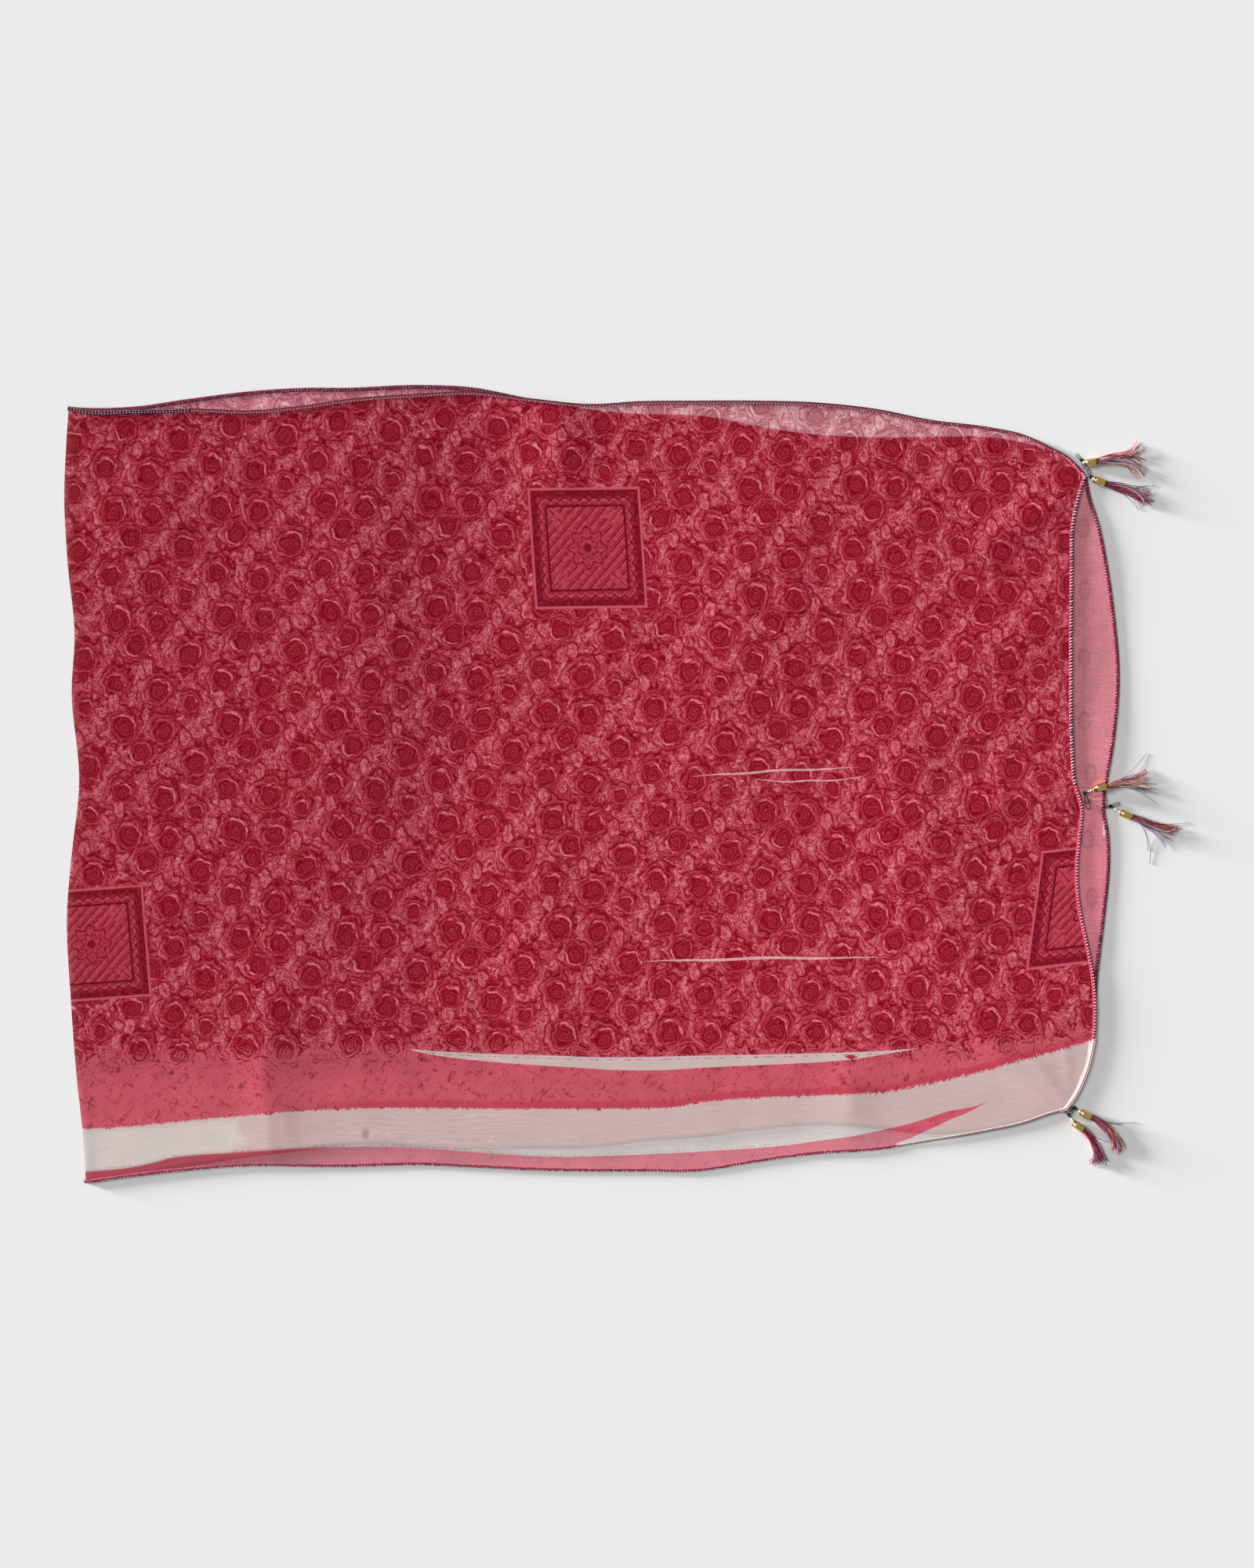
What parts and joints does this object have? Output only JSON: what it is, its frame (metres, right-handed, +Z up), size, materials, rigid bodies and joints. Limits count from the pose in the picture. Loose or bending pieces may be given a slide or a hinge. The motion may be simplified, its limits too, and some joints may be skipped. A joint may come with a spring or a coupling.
{
  "type": "wrap scarf",
  "caption": "Long printed voile scarf with overlocked hems, folded in half crosswise and laid flat, with beaded tassels at its ends.",
  "frame": {"origin": "centre of the whole laid-out scarf's bounding box, on the surface that it lies on", "axes": "+X runs along the folded scarf from its fold to its hemmed ends with the tassels, +Y across it towards the side away from the pale border, and +Z up, out of the surface that it lies on"},
  "size_m": [0.9892, 0.7, 0.0082],
  "materials": {
    "voile": "thin see-through voile with a dense rose print, soft and nearly matte",
    "knot_thread": "twisted black thread with tiny pale metal beads",
    "gold_bead": "polished gold-coloured metal",
    "tassel_thread": "loose twisted threads in magenta, lilac, orange and grey-blue"
  },
  "bodies": {
    "root": {"upper_half": "voile", "under_half": "voile", "tie_upper_top": "knot_thread", "tie_under_top": "knot_thread", "tie_upper_middle": "knot_thread", "tie_under_middle": "knot_thread", "tie_upper_bottom": "knot_thread", "tie_under_bottom": "knot_thread", "bead_upper_top": "gold_bead", "bead_under_top": "gold_bead", "bead_upper_middle": "gold_bead", "bead_under_middle": "gold_bead", "bead_upper_bottom": "gold_bead", "bead_under_bottom": "gold_bead", "tassel_upper_top": "tassel_thread", "tassel_under_top": "tassel_thread", "tassel_upper_middle": "tassel_thread", "tassel_under_middle": "tassel_thread", "tassel_upper_bottom": "tassel_thread", "tassel_under_bottom": "tassel_thread"}
  },
  "joints": []
}
